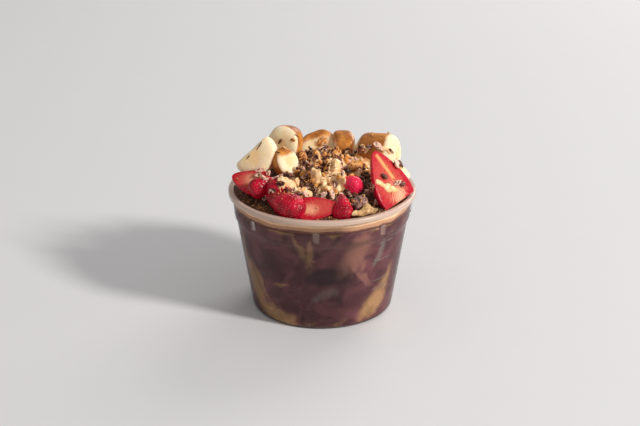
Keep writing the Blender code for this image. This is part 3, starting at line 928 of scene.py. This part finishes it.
class Ground:
    # everything laid so far: a tree of faces for each skin, to drop things on
    def __init__(self, skins):
        self.trees = {}
        for name, skin in skins.items():
            self.lay(name, skin)

    def lay(self, name, skin):
        points, faces = skin
        self.trees[name] = BVHTree.FromPolygons(points.tolist(), [face for block in faces for face in block.tolist()])

    def below(self, spots):
        # what lies straight below each (x, y) spot: places, normals and names, and which spots met something
        places, normals, names, met = [], [], [], []
        for x, y in spots:
            hits = [(*tree.ray_cast(Vector((x, y, 0.2)), Vector((0, 0, -1))), name) for name, tree in self.trees.items()]
            hits = [hit for hit in hits if hit[0] is not None]
            met.append(bool(hits))
            if hits:
                place, normal, _, _, name = min(hits, key=lambda hit: hit[3])
                places.append(place)
                normals.append(normal)
                names.append(name)
        return np.array(places), np.array(normals), np.array(names), np.array(met)

    def nearest(self, spots):
        # the nearest place on anything laid, and its normal, for each (x, y, z) spot
        found = [min((tree.find_nearest(Vector(spot)) for tree in self.trees.values()), key=lambda hit: hit[3])
                 for spot in spots]
        return np.array([hit[0] for hit in found]), np.array([hit[1] for hit in found])


soil = Ground(ground)
heap = {
    "middle": (1.0, 4.0), "spread": (18.0, 14.5), "reach": 50.0, "layers": 3,
    "oats": 210, "topOats": 60, "oatSize": (3.6, 8.5), "nibs": 250, "topNibs": 105, "nibSize": (3.2, 7.0),
    "crumbs": 1000, "crumbSize": (0.8, 2.2), "ring": 55, "onBanana": 0.03, "onStrawberry": 0.2,
}
# the pale husk colour also serves as the nibs' painted highlight
nibLook = {"dark": (0.036, 0.011, 0.008), "brown": (0.26, 0.080, 0.040), "huskAndHighlight": (0.96, 0.62, 0.46)}
oatLook = {"gold": (0.86, 0.36, 0.075), "brown": (0.46, 0.14, 0.03), "pale": (1.0, 0.68, 0.34)}


def heapSpots(rng, count, tight=1.0):
    # spots over the heap, dense at its middle, thinning outwards, and kept inside the rim
    spots = rng.normal(heap["middle"], np.array(heap["spread"]) * tight, (count * 2, 2))
    return spots[np.hypot(*spots.T) < heap["reach"]][:count] * mm


def ringSpots(rng, count, first=0, last=360):
    # spots in the bare ring of the bed between the fruit and the rim, from one bearing round to another
    angle = np.radians(rng.uniform(first, last, count))
    out = rng.uniform(40, 54, count)
    return np.column_stack([out * np.cos(angle), out * np.sin(angle)]) * mm


def grades(rng, count, span, shape):
    # uneven sizes within a span, most of them small, with the three axes in the shape's proportions
    size = span[0] + (span[1] - span[0]) * rng.uniform(0, 1, count) ** 1.6
    return size[:, None] * np.array(shape) * rng.uniform(0.8, 1.2, (count, 3)) * mm


def scatter(name, forms, rng, spots, sizes, tilt, sink):
    # drops copies on the heap in layers, fewer on the fruit, and lays them on the ground for the next;
    # returns their skin, and a tint for each of them and a fleck for each of its points
    skins, tints, flecks = [], [], []
    for layer in np.array_split(np.arange(len(spots)), heap["layers"]):
        places, normals, names, met = soil.below(spots[layer])
        onto = np.where(np.char.startswith(names, "banana"), heap["onBanana"],
                        np.where(np.char.startswith(names, "strawberry"), heap["onStrawberry"], 1.0))
        keep = rng.uniform(0, 1, len(places)) < onto
        size = sizes[layer][met][keep]
        place = places[keep] + normals[keep] * size[:, 2:] * sink
        frames = framesOn(normals[keep], rng, tilt)
        skin, owner, fleck = copies(forms, rng.integers(0, len(forms), len(size)), place, frames, size)
        soil.lay(f"{name} {layer[0]}", skin)
        skins.append(skin)
        tints.append(rng.uniform(0, 1, len(size))[owner])
        flecks.append(fleck)
    return joinSkins(skins), {"tint": np.concatenate(tints), "fleck": np.concatenate(flecks)}


def paintOat(place):
    tone = place.mark("tint").mix(oatLook["brown"], oatLook["gold"])
    pale = (place.noise(1.8, 3) * 0.6 + place.mark("fleck") * 0.5).between(0.5, 0.85)
    return {"Base Color": pale.mix(tone, oatLook["pale"]), "Normal": place.bump(place.noise(0.6, 3), 0.35)}


def makeOats(name, spots, seed):
    rng = np.random.default_rng(seed)
    sizes = grades(rng, len(spots), heap["oatSize"], (1, 0.8, 0.65))
    skin, marks = scatter(name, dropForms(rng, 7, 5, 9, 0.6, 0.32), rng, spots, sizes, 0.5, 0.15)
    makePiece(name, skin, oatFlesh, (), marks)


def makeNibs(name, spots, seed, pressed=None):
    # cacao nibs dropped on the heap's spots, or pressed on at given places
    rng = np.random.default_rng(seed)
    forms = dropForms(rng, 9, 5, 8, 0.7, 0.42, 0.3)
    sizes = grades(rng, len(spots), (heap if pressed is None else laid)["nibSize"], (1, 0.78, 0.7))
    if pressed is None:
        skin, marks = scatter(name, forms, rng, spots, sizes, 0.6, 0.15)
    else:
        places, normals = soil.nearest(pressed)
        frames = framesOn(normals, rng, 0.3)
        places = places + normals * sizes[:, 2:] * 0.3
        skin, owner, fleck = copies(forms, rng.integers(0, len(forms), len(places)), places, frames, sizes)
        soil.lay(name, skin)
        marks = {"tint": rng.uniform(0, 1, len(places))[owner], "fleck": fleck}
    makePiece(name, skin, nibFlesh, (), marks, flat=True)


def paintNib(place):
    # dark cacao with paler, pinkish husk and painted highlight on part of each nib, most round the lips of their
    # hollows
    tint = place.mark("tint")
    huskAndHighlight = (place.mark("fleck") * 0.7 + place.noise(1.8, 3) * 0.6 + (tint - 0.5) * 0.7).between(0.66, 0.9)
    tone = place.noise(2.5, 3).between(0.35, 0.65).mix(nibLook["dark"], nibLook["brown"])
    return {"Base Color": huskAndHighlight.mix(tone, nibLook["huskAndHighlight"]), "Normal": place.bump(place.noise(0.8, 3), 0.4)}


# ---- nut butter

butter = {
    # smears over the heap: the (x, y) places each passes, and how wide it is
    "smears": [
        ([(-1, 13), (4, 9), (7, -2), (8, -10), (7, -16), (11, -22)], 9.5),
        ([(0, 12), (-4, 2), (-6, -10), (-4, -17), (2, -21)], 8.0),
        ([(-6, -17), (2, -20), (8, -20), (14, -23)], 9.0),
        ([(-4, -26), (2, -26), (8, -25), (14, -27)], 7.0),
        ([(-27, -31), (-19, -30), (-12, -29), (-6, -30)], 9.5),
        ([(-19, -21), (-14, -26), (-10, -29)], 6.5),
        ([(-23, -13), (-18, -17), (-14, -19)], 6.0),
        ([(14, 19), (18, 15), (24, 13), (30, 8)], 6.5),
        ([(12, 2), (18, -2), (23, -9)], 6.0),
        ([(-14, 12), (-10, 14), (-6, 12)], 5.5),
        ([(26, 0), (29, 3), (33, 5)], 5.0),
    ],
    # strands laid on the fruit: the (x, y, z) places each passes close to, and how thick it is
    "strands": [
        ([(32, -30, 92), (34, -28, 91), (37, -28, 89), (40, -26, 86), (43, -24, 85), (46, -22, 83)], 5.0),
        ([(36, 7, 100), (38, 8, 100), (41, 9, 99), (44, 8, 96)], 4.2),
    ],
    "across": 19, "around": 20, "flat": 0.55, "deep": 0.26, "sunk": 0.0, "body": 2.5,
    "cream": (1.0, 0.69, 0.365), "tan": (0.86, 0.43, 0.15),
}


def roundRoute(points, passes):
    # Chaikin's rule: each pass cuts every corner at a quarter and at three quarters of its runs
    for _ in range(passes):
        first, second = points[:-1], points[1:]
        inner = np.stack([0.75 * first + 0.25 * second, 0.25 * first + 0.75 * second], 1).reshape(-1, points.shape[1])
        points = np.vstack([points[:1], inner, points[-1:]])
    return points


def toEnds(count):
    # how far each of a row of places is from the nearer end, as a share of the row
    return np.minimum(np.arange(count), np.arange(count)[::-1]) / count


def laySmear(route, wide, number):
    # a ribbon draped on what lies below and evened out, domed across by the root of 1 - t^2
    line = roundRoute(np.array(route, float), 4) * mm
    along = np.gradient(line, axis=0)
    along /= np.linalg.norm(along, axis=1)[:, None]
    ends = np.sqrt(ease(-0.02, 0.2, toEnds(len(line))))
    t = np.linspace(-1, 1, butter["across"])
    edge = 0.8 + 0.5 * ripple(np.column_stack([line, line[:, 0] * 0]), 4 * mm, 200 + number)
    half = wide / 2 * mm * edge * ends
    spots = line[:, None] + (half[:, None] * t)[..., None] * np.column_stack([along[:, 1], -along[:, 0]])[:, None]
    height = soil.below(spots.reshape(-1, 2))[0][:, 2].reshape(len(line), -1)
    for _ in range(5):
        wider = np.pad(height, 1, "edge")
        height = (wider[:-2, 1:-1] + wider[2:, 1:-1] + wider[1:-1, :-2] + wider[1:-1, 2:] + 2 * height) / 6
    dome = butter["deep"] * wide * mm * np.sqrt(1 - t ** 2) * ends[:, None]
    top = np.dstack([spots, height + dome - butter["sunk"] * mm])
    top[..., 2] += 0.9 * mm * (ripple(top, 3.4 * mm, 230 + number) - 0.3) * ends[:, None]
    under = np.dstack([spots, height - butter["body"] * mm])[:, -2:0:-1]
    skin = closeRings(np.concatenate([top, under], 1)[:, ::-1])
    soil.lay(f"smear {number}", skin)
    return skin


def layStrand(route, thick, number):
    # a lumpy strand along its route, pressed on the fruit and thinning to its ends
    path, upward = soil.nearest(roundRoute(np.array(route, float), 4) * mm)
    for _ in range(20):
        path[1:-1] = (path[:-2] + path[2:] + 2 * path[1:-1]) / 4
        upward[1:-1] = (upward[:-2] + upward[2:] + 2 * upward[1:-1]) / 4
    along = np.gradient(path, axis=0)
    along /= np.linalg.norm(along, axis=1)[:, None]
    side = np.cross(along, upward)
    side /= np.linalg.norm(side, axis=1)[:, None]
    upward = np.cross(side, along)
    radius = thick / 2 * mm * (0.8 + 0.5 * ripple(path, 4 * mm, 250 + number)) * np.sqrt(ease(-0.02, 0.25, toEnds(len(path))))
    spin = np.linspace(0, math.tau, butter["around"], endpoint=False)[:, None]
    rings = path[:, None] + radius[:, None, None] * (np.cos(spin) * side[:, None]
                                                     + butter["flat"] * np.sin(spin) * upward[:, None])
    return closeRings(rings)


def makeButter():
    def paint(place):
        tone = place.noise(4, 4).between(0.3, 0.6)
        return {"Base Color": tone.mix(butter["tan"], butter["cream"]), "Normal": place.bump(place.noise(1.1, 4), 0.3)}

    skins = [laySmear(route, wide, number) for number, (route, wide) in enumerate(butter["smears"])]
    skins += [layStrand(route, thick, number) for number, (route, thick) in enumerate(butter["strands"])]
    look = makeLook("nutButter", paint, {"Roughness": 0.35, "Subsurface Weight": 0.1,
                    "Subsurface Radius": (1.0, 0.6, 0.3), "Subsurface Scale": 1.0 * mm})
    makePiece("nutButter", joinSkins(skins), look)


def makeCrumbs():
    rng = np.random.default_rng(8)
    spots = np.vstack([heapSpots(rng, heap["crumbs"] // 2, 1.4), ringSpots(rng, heap["crumbs"] // 2)])
    sizes = grades(rng, len(spots), heap["crumbSize"], (1, 0.9, 0.9))
    skin, marks = scatter("crumbs", dropForms(rng, 5, 2, 5, 0.7, 0.3), rng, spots, sizes, 0.6, 0.2)
    makePiece("granolaCrumbs", skin, oatFlesh, (), marks)


# single pieces on the fruit: where each nib is pressed on, and each thin shard's middle, way and length
laid = {
    "nibs": [
        (-38, -7, 91), (-39, -13, 89), (-35, -26, 92), (-32, -1, 87), (-28, -27, 93), (-25, -10, 88), (-22, -12, 89),
        (-29, -34, 88), (-35, -29, 82), (-25, -32, 91), (-18, -31, 87), (-13, -31, 85), (-4, -28, 86), (1, -32, 85),
        (6, -32, 85), (14, -28, 85), (20, -29, 84), (26, -27, 83), (31, -32, 89), (33, -33, 80), (37, -24, 93),
        (45, -20, 87), (48, -18, 86), (45, -12, 96), (42, 10, 97), (48, 9, 89), (30, 12, 99), (25, 13, 97), (35, 10, 100),
        (-26, 18, 101), (-30, -34, 87), (9, -24, 87), (16, -25, 86), (23, -24, 85), (-9, -35, 86), (12, -31, 84),
        (-21, -33, 88), (-15, -34, 86), (28, -24, 85), (17, -31, 84), (-3, -34, 86),
    ],
    "nibSize": (4.2, 7.5),
    "shards": [
        ((-28, -4, 102), (5, -1, -3), 6), ((-39, -2, 105), (4, 1, 6), 7), ((-46, -3, 98), (3, 0, 4), 4),
        ((-16, 17, 105), (3, 0, -1), 4),
    ],
    "shardThick": 0.9,
}


def makeShards():
    rng = np.random.default_rng(12)
    places, normals = soil.nearest(np.array([spot for spot, _, _ in laid["shards"]]) * mm)
    along = np.array([way for _, way, _ in laid["shards"]], float)
    along -= normals * (along * normals).sum(1, keepdims=True)
    along /= np.linalg.norm(along, axis=1)[:, None]
    frames = np.stack([along, np.cross(normals, along), normals], 1)
    sizes = np.array([(long, laid["shardThick"], laid["shardThick"]) for _, _, long in laid["shards"]]) * mm
    skin, owner, fleck = copies(dropForms(rng, 1, 6, 8, 1.0, 0.25), np.zeros(len(places), int), places, frames, sizes)
    makePiece("cacaoShards", skin, nibFlesh, (), {"tint": owner * 0.0, "fleck": fleck * 0.3})


nibFlesh = makeLook("cacaoNib", paintNib, {"Roughness": 0.38, "Specular IOR Level": 0.4})
oatFlesh = makeLook("toastedOat", paintOat, {"Roughness": 0.55, "Specular IOR Level": 0.3})
spotMaker = np.random.default_rng(6)
makeOats("granolaOats", heapSpots(spotMaker, heap["oats"]), 5)
makeNibs("cacaoNibs", heapSpots(spotMaker, heap["nibs"]), 7)
makeButter()
makeOats("granolaOatsOnTop", np.vstack([heapSpots(spotMaker, heap["topOats"]), ringSpots(spotMaker, heap["ring"], -12, 190)]), 15)
makeNibs("cacaoNibsOnTop", np.vstack([heapSpots(spotMaker, heap["topNibs"]), ringSpots(spotMaker, heap["ring"], -12, 190)]), 9)
makeNibs("cacaoNibsLaid", laid["nibs"], 10, np.array(laid["nibs"]) * mm)
makeShards()
makeCrumbs()
print("oats, nibs, nut butter and crumbs are laid")
